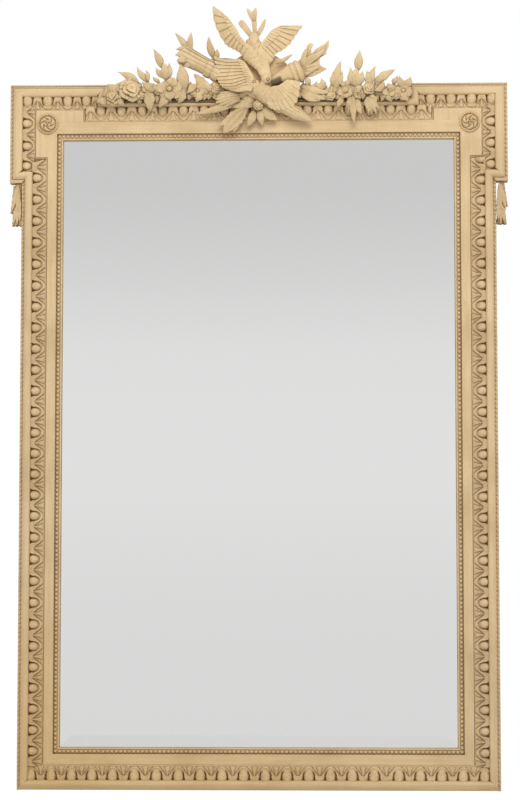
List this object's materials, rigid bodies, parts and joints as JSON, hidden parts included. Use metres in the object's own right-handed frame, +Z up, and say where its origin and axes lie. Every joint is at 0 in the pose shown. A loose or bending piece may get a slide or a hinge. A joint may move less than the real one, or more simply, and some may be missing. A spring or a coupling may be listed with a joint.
{
  "type": "carved wall mirror",
  "caption": "Tall bevelled wall mirror in a carved wooden frame with eared corners, egg-and-dart and bead mouldings, husk drops and a pierced crest of doves, quiver, torch and garlands.",
  "frame": {"origin": "middle of the visible glass, on the plane of the wall, which is the back of the middle back board", "axes": "+X to the right seen from the front, +Y into the wall so the glass faces -Y, +Z up"},
  "size_m": [1.126, 0.092, 1.762],
  "materials": {
    "carved_wood": "stripped and waxed, pale",
    "carcase_wood": "sawn and aged",
    "mirror_glass": "silvered, bevelled edge",
    "hanger_iron": "dull aged brass",
    "screw_steel": "aged steel"
  },
  "bodies": {
    "mirror": {"back_board_lower": "carcase_wood", "back_board_middle": "carcase_wood", "back_board_upper": "carcase_wood", "back_screws": "screw_steel", "corner_field_left": "carved_wood", "corner_field_right": "carved_wood", "cornice_bottom": "carved_wood", "cornice_ear_side_left": "carved_wood", "cornice_ear_side_right": "carved_wood", "cornice_ear_top_left": "carved_wood", "cornice_ear_top_right": "carved_wood", "cornice_left": "carved_wood", "cornice_returns_left": "carved_wood", "cornice_returns_right": "carved_wood", "cornice_right": "carved_wood", "cornice_top": "carved_wood", "crest_core": "carcase_wood", "ear_blocks_left": "carcase_wood", "ear_blocks_right": "carcase_wood", "egg_dart_bottom": "carved_wood", "egg_dart_ear_left": "carved_wood", "egg_dart_ear_right": "carved_wood", "egg_dart_left": "carved_wood", "egg_dart_right": "carved_wood", "egg_dart_top": "carved_wood", "field_bottom": "carved_wood", "field_left": "carved_wood", "field_right": "carved_wood", "field_top": "carved_wood", "frame_pegs": "carcase_wood", "garland_left": "carved_wood", "garland_right": "carved_wood", "glass_blocks": "carcase_wood", "hanger_screws": "screw_steel", "hanger_straps": "hanger_iron", "husk_drops": "carved_wood", "lower_dove": "carved_wood", "lower_dove_wings": "carved_wood", "mirror_glass": "mirror_glass", "pearls_bottom": "carved_wood", "pearls_left": "carved_wood", "pearls_right": "carved_wood", "pearls_top": "carved_wood", "quiver": "carved_wood", "rail_bottom": "carcase_wood", "rail_top": "carcase_wood", "ribbon_knot": "carved_wood", "rim_beads_left": "carved_wood", "rim_beads_right": "carved_wood", "rim_beads_top": "carved_wood", "rosettes": "carved_wood", "stile_left": "carcase_wood", "stile_right": "carcase_wood", "torch": "carved_wood", "torch_flame": "carved_wood", "upper_dove": "carved_wood", "upper_dove_tail": "carved_wood", "upper_dove_wings": "carved_wood"},
    "ring_left": {"hanger_ring_left": "hanger_iron"},
    "ring_right": {"hanger_ring_right": "hanger_iron"}
  },
  "joints": [
    {"name": "left_ring_swing", "type": "hinge", "parent": "mirror", "child": "ring_left", "pos_m": [-0.5, -0.0042, 0.544], "axis": [1, 0, 0], "range_deg": [0, 180]},
    {"name": "right_ring_swing", "type": "hinge", "parent": "mirror", "child": "ring_right", "pos_m": [0.5, -0.0042, 0.544], "axis": [1, 0, 0], "range_deg": [0, 180]}
  ]
}
